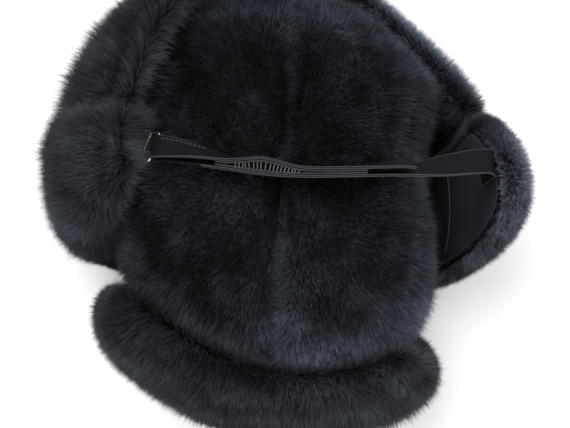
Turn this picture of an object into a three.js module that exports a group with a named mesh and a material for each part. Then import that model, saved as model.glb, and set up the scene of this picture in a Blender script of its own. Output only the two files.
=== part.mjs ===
// A black shearling hat of the trapper kind, standing on its rim with all four flaps turned up.
// Millimetres, +Z up. The origin is the middle of the head opening, on the surface that the hat
// rests on. The forehead faces -Y, so the wearer's left ear is at +X.
// A soft crown of two pelts meets in a seam from front to back. A front flap, two ear flaps and
// a neck flap are sewn round its rim. Each flap is a pelt, wool side out, with a smooth facing on
// the side towards the crown. A webbing strap from the left ear flap passes over the crown,
// through a wire ring on the right ear flap, and back onto its own hook and loop patches.

import * as THREE from "three";

// Head and pelt
const HEAD_HALF_WIDTH = 80;
const HEAD_HALF_LENGTH = 99;
const CROWN_WALL = 16;
const INNER_PUFF = 0.8;
const FLAP_WALL = 18;
const FACING_WALL = 2;
const SEWN_GAP = 0.35;
const FLAP_LIFT = 0.6;

// Wool relief: how far one lock stands out from the next
const FACE_LOCK = 1.8;
const EDGE_LOCK = 4.2;

// The seam over the crown, as a valley in the wool
const SEAM_DEPTH = 4;
const SEAM_SPREAD = 9;
const CROWN_CORE = new THREE.Vector3(0, 0, 45);

// How a flap leaves the rim: flat for a little way, then round the fold
const FLAT_LENGTH = 5;
const FOLD_LENGTH = 19;
const EDGE_LENGTH = 24;
const FACING_START = 3;

// Where a flap's section has points, as shares of its root, its middle and its edge
const ROOT_SHARES = [0, 0.3, 0.65, 1];
const WOOL_SHARES = [0.35, 0.7];
const EDGE_SHARES = [1, 0.6, 0.3, 0.1];
const SKIN_SHARES = [0.33, 0.67, 1];

// The strap, its patches and the ring
const STRAP_WIDTH = 15;
const STRAP_THICKNESS = 1.5;
const STRAP_SPACING = 4.7;
const PATCH_THICKNESS = 0.85;
const PATCH_WIDTH = 13;
const PATCH_GAP = 0.45;
const PATCH_FIRST_ROW = 5.3;
const PATCH_LAST_ROW = 9.4;
const RING_WIRE = 0.9;
const RING_LENGTH = 21;
const RING_WIDTH = 9;
const WELT_RADIUS = 0.8;
const WELT_DISTANCE = 50;
const WELT_HALF_ANGLE = 18;
const WELT_STEP = 2.4;
const TURN_STEPS = 6;
const STRAP_ANGLE = 3;
const STRAP_SEWN_BELOW_EDGE = [29, 23, 17, 11];
const TAB_SEWN_BELOW_EDGE = [25, 18];
const TAB_ANGLE = 180;
const TAB_WIDTH = 13;
const TAB_THICKNESS = 1.1;
const TAB_SPACING = 3.6;

const WOOL = new THREE.MeshStandardMaterial({ color: 0x16181d, roughness: 0.95, metalness: 0 });
const FACING = new THREE.MeshStandardMaterial({ color: 0x141319, roughness: 0.7, metalness: 0 });
const WEBBING = new THREE.MeshStandardMaterial({ color: 0x1c1c25, roughness: 0.6, metalness: 0 });
const HOOK_AND_LOOP = new THREE.MeshStandardMaterial({ color: 0x3a3a44, roughness: 0.9, metalness: 0 });
const BRASS = new THREE.MeshStandardMaterial({ color: 0xc9b07a, roughness: 0.3, metalness: 1 });

// The crown from rim to top: height and spread of its outside and of its inside, and how much of
// each angle's puff shows at that height.
const CROWN_PROFILE = [
  { row: 0, height: 0, spread: 1, puff: 0, innerHeight: 0, innerSpread: 1 },
  { row: 1, height: 11, spread: 1, puff: 0, innerHeight: 11, innerSpread: 1 },
  { row: 2, height: 20, spread: 1, puff: 0, innerHeight: 20, innerSpread: 1.01 },
  { row: 3, height: 37, spread: 1, puff: 0.5, innerHeight: 35, innerSpread: 1.02 },
  { row: 4, height: 54, spread: 1, puff: 0.9, innerHeight: 50, innerSpread: 1.03 },
  { row: 5, height: 73, spread: 1, puff: 1, innerHeight: 67, innerSpread: 1.02 },
  { row: 6, height: 92, spread: 0.97, puff: 1, innerHeight: 83, innerSpread: 0.96 },
  { row: 7, height: 109, spread: 0.89, puff: 1, innerHeight: 97, innerSpread: 0.85 },
  { row: 8, height: 122, spread: 0.75, puff: 0.8, innerHeight: 109, innerSpread: 0.69 },
  { row: 9, height: 131, spread: 0.56, puff: 0.5, innerHeight: 117, innerSpread: 0.5 },
  { row: 10, height: 137, spread: 0.35, puff: 0.12, innerHeight: 122, innerSpread: 0.31 },
  { row: 11, height: 139.5, spread: 0.16, puff: 0, innerHeight: 124, innerSpread: 0.14 },
];
const CROWN_TOP = 139.6;
const CROWN_TOP_INSIDE = 124.4;

// How far the soft crown stands out past its rim, round the head from the wearer's left ear.
const CROWN_PUFF = [
  { angle: -90, puff: 17 },
  { angle: -75, puff: 19 },
  { angle: -60, puff: 24 },
  { angle: -48, puff: 26 },
  { angle: -37, puff: 19 },
  { angle: -20, puff: 4 },
  { angle: 0, puff: -6 },
  { angle: 14, puff: -6 },
  { angle: 24, puff: 1 },
  { angle: 36, puff: 17 },
  { angle: 48, puff: 16 },
  { angle: 65, puff: 17 },
  { angle: 90, puff: 22 },
  { angle: 115, puff: 31 },
  { angle: 132, puff: 38 },
  { angle: 148, puff: 32 },
  { angle: 165, puff: 18 },
  { angle: 182, puff: 11 },
  { angle: 200, puff: 21 },
  { angle: 223, puff: 22 },
  { angle: 242, puff: 18 },
  { angle: 262, puff: 13 },
  { angle: 270, puff: 13 },
];

// Each flap round the rim: its depth from root to free edge, how it leans outwards from the
// vertical, in degrees, just above the fold, half way up and at the free edge, and how many
// degrees round the head it has turned by its free edge.
const FLAPS = [
  {
    name: "front_flap",
    stations: 30,
    border: 12,
    roll: 3,
    shape: [
      { angle: -150.5, depth: 52, lower: 54, middle: 26, upper: 8, turn: 4 },
      { angle: -146, depth: 91, lower: 62, middle: 5, upper: -34, turn: 4 },
      { angle: -136, depth: 125, lower: 68, middle: -5, upper: -65, turn: 2 },
      { angle: -118, depth: 127, lower: 57, middle: -9, upper: -72, turn: 0 },
      { angle: -95, depth: 121, lower: 56, middle: -9, upper: -74, turn: 0 },
      { angle: -75, depth: 118, lower: 60, middle: -6, upper: -69, turn: 0 },
      { angle: -60, depth: 122, lower: 70, middle: 0, upper: -69, turn: 0 },
      { angle: -50, depth: 116, lower: 69, middle: 3, upper: -54, turn: -3 },
      { angle: -42, depth: 82, lower: 66, middle: 14, upper: -14, turn: -6 },
      { angle: -37, depth: 48, lower: 50, middle: 28, upper: 16, turn: -7 },
    ],
  },
  {
    name: "left_ear_flap",
    stations: 22,
    border: 6,
    roll: 2,
    shape: [
      { angle: -35.5, depth: 13, lower: 24, middle: 20, upper: 20, turn: 0 },
      { angle: -30, depth: 17, lower: 24, middle: 22, upper: 20, turn: 0 },
      { angle: -26, depth: 27, lower: 22, middle: 20, upper: 18, turn: 0 },
      { angle: -22, depth: 56, lower: 20, middle: 16, upper: 12, turn: 0 },
      { angle: -16, depth: 97, lower: 18, middle: 12, upper: 8, turn: -1 },
      { angle: -8, depth: 129, lower: 16, middle: 9, upper: 5, turn: -2 },
      { angle: 3, depth: 138, lower: 14, middle: 5.5, upper: 0.5, turn: -2 },
      { angle: 12, depth: 126, lower: 13, middle: 3.5, upper: -3, turn: -1 },
      { angle: 20, depth: 100, lower: 16, middle: 5, upper: -2, turn: 1 },
    ],
  },
  {
    name: "neck_flap",
    stations: 36,
    border: 5,
    roll: 1,
    shape: [
      { angle: 21.5, depth: 92, lower: 20, middle: 10, upper: 4, turn: 0 },
      { angle: 35, depth: 88, lower: 18, middle: 4, upper: -5, turn: 0 },
      { angle: 60, depth: 85, lower: 16, middle: 0, upper: -8, turn: 0 },
      { angle: 90, depth: 96, lower: 42, middle: 8, upper: -16, turn: 0 },
      { angle: 108, depth: 122, lower: 48, middle: 4, upper: -40, turn: 0 },
      { angle: 122, depth: 148, lower: 62, middle: -6, upper: -58, turn: 0 },
      { angle: 140, depth: 166, lower: 66, middle: -12, upper: -70, turn: 0 },
      { angle: 158, depth: 169, lower: 67, middle: -15, upper: -76, turn: 0 },
      { angle: 171, depth: 174, lower: 69, middle: -16, upper: -80, turn: 0 },
    ],
  },
  {
    name: "right_ear_flap",
    stations: 22,
    border: 8,
    roll: 1,
    shape: [
      { angle: 172.5, depth: 175, lower: 69, middle: -16, upper: -80, turn: 0 },
      { angle: 180, depth: 176, lower: 70, middle: -16, upper: -80, turn: 0 },
      { angle: 190, depth: 170, lower: 68, middle: -17, upper: -81, turn: 0 },
      { angle: 198, depth: 145, lower: 59, middle: -12, upper: -68, turn: 0 },
      { angle: 204, depth: 96, lower: 42, middle: 0, upper: -36, turn: 0 },
      { angle: 208.5, depth: 26, lower: 24, middle: 18, upper: 10, turn: 0 },
    ],
  },
];

// The strap's lower layer from the left ear flap to the ring: its middle line, how far it has
// turned onto its edge, in degrees, and the distance to the layer that comes back above it.
const STRAP_PATH = [
  { x: 122.9, y: 2, z: 135.5, roll: 0, spacing: 0 },
  { x: 118.2, y: 1, z: 141.6, roll: 2, spacing: 0 },
  { x: 107, y: -1, z: 143, roll: 7, spacing: 0 },
  { x: 92, y: -4, z: 142, roll: 22, spacing: 0 },
  { x: 74, y: -8, z: 142, roll: 48, spacing: STRAP_SPACING },
  { x: 53, y: -12.5, z: 143.5, roll: 68, spacing: STRAP_SPACING },
  { x: 30, y: -16.5, z: 147, roll: 74, spacing: STRAP_SPACING },
  { x: 8, y: -19, z: 149, roll: 74, spacing: STRAP_SPACING + 0.6 },
  { x: -12, y: -19, z: 148.4, roll: 74, spacing: STRAP_SPACING + 4.2 },
  { x: -32, y: -16, z: 146, roll: 68, spacing: STRAP_SPACING + 0.6 },
  { x: -52, y: -10.5, z: 140.8, roll: 48, spacing: STRAP_SPACING },
  { x: -69, y: -5, z: 134.4, roll: 20, spacing: STRAP_SPACING },
  { x: -80, y: -2, z: 129.4, roll: 6, spacing: STRAP_SPACING },
];

const radians = THREE.MathUtils.degToRad;
const clamp = THREE.MathUtils.clamp;

// Reads one column of a table at any value of another, on a smooth curve through the rows.
function readTable(rows, along, column, value) {
  const last = rows.length - 1;
  const at = clamp(value, rows[0][along], rows[last][along]);
  let i = 0;
  while (i < last - 1 && rows[i + 1][along] < at) i += 1;
  const before = rows[Math.max(i - 1, 0)];
  const [low, high] = [rows[i], rows[i + 1]];
  const after = rows[Math.min(i + 2, last)];
  const span = high[along] - low[along];
  const t = (at - low[along]) / span;
  const slopeIn = ((high[column] - before[column]) / (high[along] - before[along])) * span;
  const slopeOut = ((after[column] - low[column]) / (after[along] - low[along])) * span;
  return (
    (2 * t ** 3 - 3 * t ** 2 + 1) * low[column] +
    (t ** 3 - 2 * t ** 2 + t) * slopeIn +
    (3 * t ** 2 - 2 * t ** 3) * high[column] +
    (t ** 3 - t ** 2) * slopeOut
  );
}

// A surface in the making: points, and faces by the numbers of their points.
class Surface {
  constructor() {
    this.points = [];
    this.faces = [];
  }

  add(points) {
    const first = this.points.length;
    this.points.push(...points);
    return first;
  }

  quad(a, b, c, d) {
    this.faces.push([a, b, c], [a, c, d]);
  }

  // Six times the enclosed volume: negative if the faces point inwards.
  volume() {
    return this.faces.reduce((sum, [a, b, c]) => {
      const [p, q, r] = [this.points[a], this.points[b], this.points[c]];
      return sum + p.dot(new THREE.Vector3().crossVectors(q, r));
    }, 0);
  }

  geometry() {
    const turned = this.volume() < 0;
    const order = this.faces.map(([a, b, c]) => (turned ? [a, c, b] : [a, b, c]));
    const made = new THREE.BufferGeometry();
    const places = this.points.flatMap((p) => [p.x, p.y, p.z]);
    made.setAttribute("position", new THREE.Float32BufferAttribute(places, 3));
    made.setIndex(order.flat());
    made.computeVertexNormals();
    return made;
  }
}

// Closes a ring of points as a ladder: the first point with the last, and so on to the middle.
function capRing(surface, first, count, turned) {
  for (let low = 0, high = count - 1; high - low > 1; low += 1, high -= 1) {
    const [a, b, c, d] = [first + low, first + low + 1, first + high - 1, first + high];
    if (high - low === 2) surface.faces.push(turned ? [a, d, b] : [a, b, d]);
    else if (turned) surface.quad(d, c, b, a);
    else surface.quad(a, b, c, d);
  }
}

// A solid through rings that all have the same number of points.
function loft(rings, closed = false) {
  const surface = new Surface();
  const starts = rings.map((ring) => surface.add(ring));
  const count = rings[0].length;
  const steps = closed ? rings.length : rings.length - 1;
  for (let i = 0; i < steps; i += 1) {
    const [here, next] = [starts[i], starts[(i + 1) % rings.length]];
    for (let j = 0; j < count; j += 1) {
      const k = (j + 1) % count;
      surface.quad(here + j, here + k, next + k, next + j);
    }
  }
  if (!closed) {
    capRing(surface, starts[0], count, true);
    capRing(surface, starts[starts.length - 1], count, false);
  }
  return surface.geometry();
}

function round(angle, radius, height) {
  return new THREE.Vector3(radius * Math.cos(angle), radius * Math.sin(angle), height);
}

// The radius of an oval at an angle round it.
function ovalRadius(angle, halfWidth, halfLength) {
  return 1 / Math.hypot(Math.cos(angle) / halfWidth, Math.sin(angle) / halfLength);
}

function headRadius(angle) {
  return ovalRadius(angle, HEAD_HALF_WIDTH, HEAD_HALF_LENGTH);
}

function rimRadius(angle) {
  return ovalRadius(angle, HEAD_HALF_WIDTH + CROWN_WALL, HEAD_HALF_LENGTH + CROWN_WALL);
}

// How far one lock of wool stands out: locks lie in staggered rows, each a little different.
function lock(column, row) {
  const stagger = (column + (row % 2)) % 2;
  const own = ((column * 7 + row * 13 + 3) % 11) / 10;
  return 0.65 * stagger + 0.35 * own;
}

// Crown

const CROWN_COLUMNS = 24;

// How far the soft crown stands out past its rim at an angle, before the height's share of it.
function crownPuff(angle) {
  const degrees = THREE.MathUtils.radToDeg(angle);
  return readTable(CROWN_PUFF, "angle", "puff", degrees < -90 ? degrees + 360 : degrees);
}

function crownOutside(angle, column, row) {
  const { height, spread, puff } = CROWN_PROFILE[row];
  const point = round(angle, rimRadius(angle) * spread + crownPuff(angle) * puff, height);
  const free = clamp((height - 20) / 20, 0, 1);
  const valley = SEAM_DEPTH * Math.exp(-((point.x / SEAM_SPREAD) ** 2)) * free;
  const relief = FACE_LOCK * lock(column, row) * free;
  const outwards = point.clone().sub(CROWN_CORE).normalize();
  return point.addScaledVector(outwards, relief - valley);
}

function crownInside(angle, row) {
  const { innerHeight, innerSpread, puff } = CROWN_PROFILE[row];
  const stand = crownPuff(angle) * puff * INNER_PUFF;
  return round(angle, headRadius(angle) * innerSpread + stand, innerHeight);
}

// One half of the crown, side 1 at the wearer's left and -1 at the right: the seam is its flat edge.
function crownPanel(side) {
  const surface = new Surface();
  const halfGap = SEWN_GAP / 2;
  const offSeam = (p) => p.setX(side * Math.max(Math.abs(p.x), halfGap));
  const columns = [];
  for (let i = 0; i <= CROWN_COLUMNS; i += 1) {
    const share = -Math.cos((Math.PI * i) / CROWN_COLUMNS);
    const turn = radians(90 * (0.45 * share + 0.55 * ((2 * i) / CROWN_COLUMNS - 1)));
    const angle = side > 0 ? turn : Math.PI - turn;
    const rows = CROWN_PROFILE.map((_, row) => row);
    const outer = rows.map((row) => offSeam(crownOutside(angle, i, row)));
    const inner = rows.map((row) => offSeam(crownInside(angle, row)));
    columns.push([surface.add(outer), surface.add(inner)]);
  }
  const rows = CROWN_PROFILE.length;
  const top = surface.add([new THREE.Vector3(side * halfGap, 0, CROWN_TOP - SEAM_DEPTH)]);
  const topInside = surface.add([new THREE.Vector3(side * halfGap, 0, CROWN_TOP_INSIDE)]);
  for (let i = 0; i < CROWN_COLUMNS; i += 1) {
    const [[outer, inner], [nextOuter, nextInner]] = [columns[i], columns[i + 1]];
    for (let row = 0; row < rows - 1; row += 1) {
      surface.quad(outer + row, nextOuter + row, nextOuter + row + 1, outer + row + 1);
      surface.quad(inner + row, inner + row + 1, nextInner + row + 1, nextInner + row);
    }
    surface.faces.push([outer + rows - 1, nextOuter + rows - 1, top]);
    surface.faces.push([inner + rows - 1, topInside, nextInner + rows - 1]);
    surface.quad(outer, inner, nextInner, nextOuter);
  }
  for (const [edge, turned] of [[0, true], [CROWN_COLUMNS, false]]) {
    const [outer, inner] = columns[edge];
    for (let row = 0; row < rows; row += 1) {
      const above = row === rows - 1 ? [top, topInside] : [outer + row + 1, inner + row + 1];
      if (turned) surface.quad(above[0], above[1], inner + row, outer + row);
      else surface.quad(outer + row, inner + row, above[1], above[0]);
    }
  }
  return surface.geometry();
}

// Flaps

function flapValue(flap, column, degrees) {
  return readTable(flap.shape, "angle", column, degrees);
}

// How far from upright a flap leans at a distance from its root: flat, round the fold, then up.
function leanAt(flap, degrees, distance, depth) {
  const lower = flapValue(flap, "lower", degrees);
  const middle = flapValue(flap, "middle", degrees);
  const upper = flapValue(flap, "upper", degrees);
  const foldEnd = FLAT_LENGTH + FOLD_LENGTH;
  const half = Math.max(depth * 0.55, foldEnd + 1);
  const steps = [
    { distance: 0, lean: 90 },
    { distance: FLAT_LENGTH, lean: 90 },
    { distance: foldEnd, lean: lower },
    { distance: half, lean: middle },
    { distance: Math.max(depth, half + 1), lean: upper },
  ];
  const next = Math.max(1, steps.findIndex((step) => step.distance >= distance));
  const [low, high] = [steps[next - 1], steps[next]];
  const share = (distance - low.distance) / (high.distance - low.distance);
  return radians(THREE.MathUtils.lerp(low.lean, high.lean, clamp(share, 0, 1)));
}

// The flap's skin line in one upright plane: place and wool side at a distance from the root.
function skinPlace(flap, degrees, distance) {
  const depth = flapValue(flap, "depth", degrees);
  const strides = Math.max(1, Math.ceil(distance / 2));
  let radius = rimRadius(radians(degrees)) + SEWN_GAP;
  let height = FLAP_WALL + FLAP_LIFT;
  for (let i = 0; i < strides; i += 1) {
    const lean = leanAt(flap, degrees, (distance * (i + 0.5)) / strides, depth);
    radius += (distance / strides) * Math.sin(lean);
    height += (distance / strides) * Math.cos(lean);
  }
  return { radius, height, lean: leanAt(flap, degrees, distance, depth), depth };
}

// A point a way off the skin line: a positive way is towards the wool side.
function offSkin(flap, degrees, distance, away, along = 0) {
  const { radius, height, lean, depth } = skinPlace(flap, degrees, distance);
  const outwards = radius + away * Math.cos(lean) + along * Math.sin(lean);
  const upwards = height - away * Math.sin(lean) + along * Math.cos(lean);
  const turned = THREE.MathUtils.smoothstep(distance, FLAT_LENGTH, 0.7 * depth);
  return round(radians(degrees + flapValue(flap, "turn", degrees) * turned), outwards, upwards);
}

// Distances from the root at which a flap's wool side has points.
function woolDistances(depth) {
  const root = Math.min(FLAT_LENGTH + FOLD_LENGTH, 0.35 * depth);
  const edge = Math.min(EDGE_LENGTH, 0.45 * depth);
  const middle = depth - root - edge;
  return [
    ...ROOT_SHARES.map((share) => root * share),
    ...WOOL_SHARES.map((share) => root + middle * share),
    ...EDGE_SHARES.map((share) => depth - edge * share),
  ];
}

// Distances from the root at which its skin side has points, as far as the wool of the border.
function skinDistances(flap, depth) {
  const root = Math.min(FLAT_LENGTH + FOLD_LENGTH, 0.35 * depth);
  const end = depth - Math.min(flap.border, 0.3 * depth) - EDGE_LENGTH / 4;
  const middle = end - root;
  return [
    ...ROOT_SHARES.map((share) => root * share),
    ...SKIN_SHARES.map((share) => root + middle * share),
  ];
}

// One section of a flap: up the wool side, over the free edge and down the skin side.
function flapSection(flap, degrees, column, fullness) {
  const depth = flapValue(flap, "depth", degrees) * (0.88 + 0.12 * fullness);
  const edge = Math.min(EDGE_LENGTH, 0.45 * depth);
  const middle = FLAP_WALL / 2;
  const slack = middle * (1 - fullness);
  const wool = woolDistances(depth).map((distance, row) => {
    const nearEdge = clamp((distance - (depth - edge)) / edge, 0, 1);
    const swell = Math.sqrt(1 - nearEdge ** 2.4);
    const clear = clamp((distance - FLAT_LENGTH) / FOLD_LENGTH, 0, 1);
    const relief = FACE_LOCK * lock(column, row) * clear * fullness;
    return offSkin(flap, degrees, distance, middle + (middle - slack) * swell + relief);
  });
  const out = EDGE_LOCK * lock(column, 0) * fullness;
  const tip = offSkin(flap, degrees, depth, middle, out);
  const inner = skinDistances(flap, depth);
  const skin = inner.map((distance) => offSkin(flap, degrees, distance, slack));
  const last = inner[inner.length - 1];
  const border = [0.3, 0.75].map((share, row) => {
    const roll = (flap.roll + 0.6 * lock(column, row)) * fullness * (1 - row);
    return offSkin(flap, degrees, last + (depth - last) * share, slack - roll + row * middle * 0.4);
  });
  return [...wool, tip, ...[...skin, ...border].reverse()];
}

function flapStations(flap) {
  const first = flap.shape[0].angle;
  const last = flap.shape[flap.shape.length - 1].angle;
  const ends = [
    { share: 0, fullness: 0.35 },
    { share: 0.012, fullness: 0.8 },
  ];
  const inner = [];
  for (let i = 0; i <= flap.stations; i += 1) {
    inner.push({ share: 0.03 + (0.94 * i) / flap.stations, fullness: 1 });
  }
  const mirrored = ends.map(({ share, fullness }) => ({ share: 1 - share, fullness })).reverse();
  const all = [...ends, ...inner, ...mirrored];
  return all.map(({ share, fullness }) => ({ degrees: first + (last - first) * share, fullness }));
}

function flapSolid(flap) {
  const stations = flapStations(flap);
  return loft(stations.map(({ degrees, fullness }, i) => flapSection(flap, degrees, i, fullness)));
}

// The facing covers the skin side as far as the wool that borders the free edge.
function facingSolid(flap) {
  return loft(flapStations(flap).slice(3, -3).map(({ degrees }) => {
    const distances = skinDistances(flap, flapValue(flap, "depth", degrees));
    distances[0] = FACING_START;
    const under = distances.map((distance) => offSkin(flap, degrees, distance, -SEWN_GAP));
    const over = distances.map((d) => offSkin(flap, degrees, d, -SEWN_GAP - FACING_WALL));
    return [...over, ...under.reverse()];
  }));
}

// A round bar along a line of points, each with the directions that span its section.
function barAlong(points, radius, closed = false, sides = 8) {
  const count = points.length;
  const rings = points.map((point, i) => {
    const before = closed ? points[(i + count - 1) % count] : points[Math.max(i - 1, 0)];
    const after = closed ? points[(i + 1) % count] : points[Math.min(i + 1, count - 1)];
    const along = after.clone().sub(before).normalize();
    const across = new THREE.Vector3(0, 0, 1).cross(along).normalize();
    const up = along.clone().cross(across);
    return Array.from({ length: sides }, (_, k) => {
      const turn = (2 * Math.PI * k) / sides;
      const reach = across.clone().multiplyScalar(radius * Math.cos(turn));
      return point.clone().add(reach).addScaledVector(up, radius * Math.sin(turn));
    });
  });
  return loft(rings, closed);
}

// Strap

// A frame on a band: its middle, and the unit directions along it, across it and off its face.
function bandFrame(position, along, towards, roll = 0) {
  const across = towards.clone().addScaledVector(along, -towards.dot(along)).normalize();
  across.applyAxisAngle(along, radians(roll));
  return { position, along, across, off: across.clone().cross(along).normalize() };
}

// A point off the facing's flat stretches: the facing runs straight between its own rows.
function offFacing(flap, degrees, distance, away) {
  const rows = skinDistances(flap, flapValue(flap, "depth", degrees));
  const next = rows.findIndex((row) => row >= distance);
  const high = next < 0 ? rows.length - 1 : Math.max(next, 1);
  const share = (distance - rows[high - 1]) / (rows[high] - rows[high - 1]);
  const below = offSkin(flap, degrees, rows[high - 1], -away);
  return below.lerp(offSkin(flap, degrees, rows[high], -away), share);
}

// Frames up a flap's facing, for a band that is sewn flat on it.
function framesOnFacing(flap, degrees, distances, away) {
  return distances.map((distance) => {
    const position = offFacing(flap, degrees, distance, away);
    const ahead = offFacing(flap, degrees, distance + 1, away).sub(position).normalize();
    const across = offFacing(flap, degrees + 1, distance, away).sub(position);
    return bandFrame(position, ahead, across);
  });
}

// The welt across the left ear flap's facing.
function weltSolid(flap) {
  const points = [];
  const away = FACING_WALL + SEWN_GAP * 2 + WELT_RADIUS;
  for (let degrees = -WELT_HALF_ANGLE; degrees <= WELT_HALF_ANGLE; degrees += WELT_STEP) {
    points.push(offFacing(flap, degrees, WELT_DISTANCE, away));
  }
  return barAlong(points, WELT_RADIUS);
}

// The strap's lower layer as frames, smooth between the rows of the path.
function lowerLayer() {
  const rows = STRAP_PATH.map((row, index) => ({ ...row, index }));
  const place = (at) =>
    new THREE.Vector3(...["x", "y", "z"].map((axis) => readTable(rows, "index", axis, at)));
  const level = new THREE.Vector3(0, 1, 0);
  const frames = [];
  const steps = (rows.length - 1) * 3;
  for (let i = 0; i <= steps; i += 1) {
    const at = i / 3;
    const along = place(at + 0.1).sub(place(at - 0.1)).normalize();
    const roll = readTable(rows, "index", "roll", at);
    const spacing = readTable(rows, "index", "spacing", at);
    frames.push({ ...bandFrame(place(at), along, level, roll), spacing, at });
  }
  return frames;
}

// Round a bar of the ring, from under it to over it.
function turnRound(frame, spacing) {
  const centre = frame.position.clone().addScaledVector(frame.off, spacing / 2);
  const frames = [];
  for (let step = 1; step < TURN_STEPS; step += 1) {
    const angle = (Math.PI * step) / TURN_STEPS;
    const off = frame.off.clone().applyAxisAngle(frame.across, -angle);
    const along = frame.along.clone().applyAxisAngle(frame.across, -angle);
    const position = centre.clone().addScaledVector(off, -spacing / 2);
    frames.push({ position, along, across: frame.across.clone(), off });
  }
  return frames;
}

// A band that runs out along its lower frames, round a bar and back above them, as a solid.
function foldedBand(lead, frames, width, thickness) {
  const out = [...lead, ...frames];
  const last = frames[frames.length - 1];
  const back = frames.map((frame) => ({
    ...frame,
    position: frame.position.clone().addScaledVector(frame.off, frame.spacing),
  }));
  const turn = turnRound(last, last.spacing);
  const rings = [...out, ...turn].map((frame) => bandRing(frame, width, thickness));
  const returning = back.reverse().map((frame) => {
    const [a, b, c, d] = bandRing(frame, width, thickness);
    return [d, c, b, a];
  });
  return loft([...rings, ...returning]);
}

function bandRing({ position, across, off }, width, thickness, away = 0) {
  const corners = [[-1, -1], [1, -1], [1, 1], [-1, 1]];
  return corners.map(([side, face]) =>
    position
      .clone()
      .addScaledVector(across, (side * width) / 2)
      .addScaledVector(off, (face * thickness) / 2 + away),
  );
}

// The end that is sewn up the left ear flap's facing, before the strap leaves for the crown.
function sewnEnd(flap) {
  const edge = flapValue(flap, "depth", STRAP_ANGLE);
  const away = FACING_WALL + SEWN_GAP * 3 + STRAP_THICKNESS / 2;
  const distances = STRAP_SEWN_BELOW_EDGE.map((below) => edge - below);
  return framesOnFacing(flap, STRAP_ANGLE, distances, away);
}

function strapSolid(frames, flap) {
  const doubled = frames.findIndex(({ spacing }) => spacing >= STRAP_SPACING - 0.01);
  const lead = [...sewnEnd(flap), ...frames.slice(0, doubled)];
  return foldedBand(lead, frames.slice(doubled), STRAP_WIDTH, STRAP_THICKNESS);
}

// The two halves of the fastening, on the faces of the strap that meet.
function patchSolid(frames, onLower) {
  const reach = frames.filter(({ at }) => at >= PATCH_FIRST_ROW && at <= PATCH_LAST_ROW);
  return loft(reach.map((frame) => {
    const fromLower = STRAP_THICKNESS / 2 + PATCH_GAP + PATCH_THICKNESS / 2;
    const away = onLower ? fromLower : frame.spacing - fromLower;
    return bandRing(frame, PATCH_WIDTH, PATCH_THICKNESS, away);
  }));
}

// The wire ring: a rectangle with round corners, one long side inside the strap's turn.
function ringSolid(frame) {
  const { position, along, across, off } = frame;
  const bar = position.clone().addScaledVector(off, STRAP_SPACING / 2);
  const centre = bar.addScaledVector(along, RING_WIDTH / 2 - RING_WIRE);
  const points = [];
  const corner = 2;
  const [halfLong, halfWide] = [RING_LENGTH / 2 - RING_WIRE, RING_WIDTH / 2 - RING_WIRE];
  const quarters = [[1, 1], [-1, 1], [-1, -1], [1, -1]];
  quarters.forEach(([long, wide], quarter) => {
    for (let step = 0; step <= 3; step += 1) {
      const turn = (Math.PI / 2) * (quarter + step / 3);
      const u = long * (halfLong - corner) + corner * Math.cos(turn);
      const v = wide * (halfWide - corner) + corner * Math.sin(turn);
      points.push(centre.clone().addScaledVector(across, u).addScaledVector(along, v));
    }
  });
  return barAlong(points, RING_WIRE, true);
}

// The tab that holds the ring's other long side, sewn under the edge of the right ear flap.
function tabSolid(frame, flap) {
  const bar = frame.position.clone().addScaledVector(frame.off, STRAP_SPACING / 2);
  bar.addScaledVector(frame.along, RING_WIDTH - RING_WIRE * 2);
  const edge = flapValue(flap, "depth", TAB_ANGLE);
  const away = FACING_WALL + SEWN_GAP * 3 + TAB_THICKNESS * 1.5;
  const closed = TAB_THICKNESS + SEWN_GAP;
  const distances = TAB_SEWN_BELOW_EDGE.map((below) => edge - below);
  const sewn = framesOnFacing(flap, TAB_ANGLE, distances, away);
  const middles = sewn.map((middle) => ({ ...middle, spacing: closed }));
  const { position: start, across: level } = sewn[1];
  const leaving = bar.clone().sub(start).normalize();
  for (const share of [0.2, 0.4, 0.6, 0.8, 1]) {
    const across = level.clone().lerp(frame.across.clone().negate(), share);
    const spacing = THREE.MathUtils.lerp(closed, TAB_SPACING, share);
    middles.push({ ...bandFrame(start.clone().lerp(bar, share), leaving, across), spacing });
  }
  const frames = middles.map((middle) => ({
    ...middle,
    position: middle.position.clone().addScaledVector(middle.off, -middle.spacing / 2),
  }));
  return foldedBand([], frames, TAB_WIDTH, TAB_THICKNESS);
}

function piece(name, geometry, material) {
  const mesh = new THREE.Mesh(geometry, material);
  mesh.name = name;
  return mesh;
}

const hat = new THREE.Group();
hat.add(piece("crown_left_panel", crownPanel(1), WOOL));
hat.add(piece("crown_right_panel", crownPanel(-1), WOOL));
for (const flap of FLAPS) {
  hat.add(piece(flap.name, flapSolid(flap), WOOL));
  hat.add(piece(`${flap.name}_facing`, facingSolid(flap), FACING));
}
const leftEarFlap = FLAPS.find((flap) => flap.name === "left_ear_flap");
const rightEarFlap = FLAPS.find((flap) => flap.name === "right_ear_flap");
const layer = lowerLayer();
hat.add(piece("left_ear_flap_welt", weltSolid(leftEarFlap), FACING));
hat.add(piece("strap", strapSolid(layer, leftEarFlap), WEBBING));
hat.add(piece("loop_patch", patchSolid(layer, true), HOOK_AND_LOOP));
hat.add(piece("hook_patch", patchSolid(layer, false), HOOK_AND_LOOP));
hat.add(piece("strap_ring", ringSolid(layer[layer.length - 1]), BRASS));
hat.add(piece("ring_tab", tabSolid(layer[layer.length - 1], rightEarFlap), WEBBING));

export default hat;
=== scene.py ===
"""A black shearling trapper hat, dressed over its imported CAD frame.

Metres in the row frame: +Z up, the forehead towards -Y, the wearer's left ear at +X.
Wool is grown from the faces of each CAD pelt, over a dark backing set a little way in. The smooth
facings, the webbing, the fastening, the ring and the welt are finer copies of their CAD pieces.
"""

import itertools
import math

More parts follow.
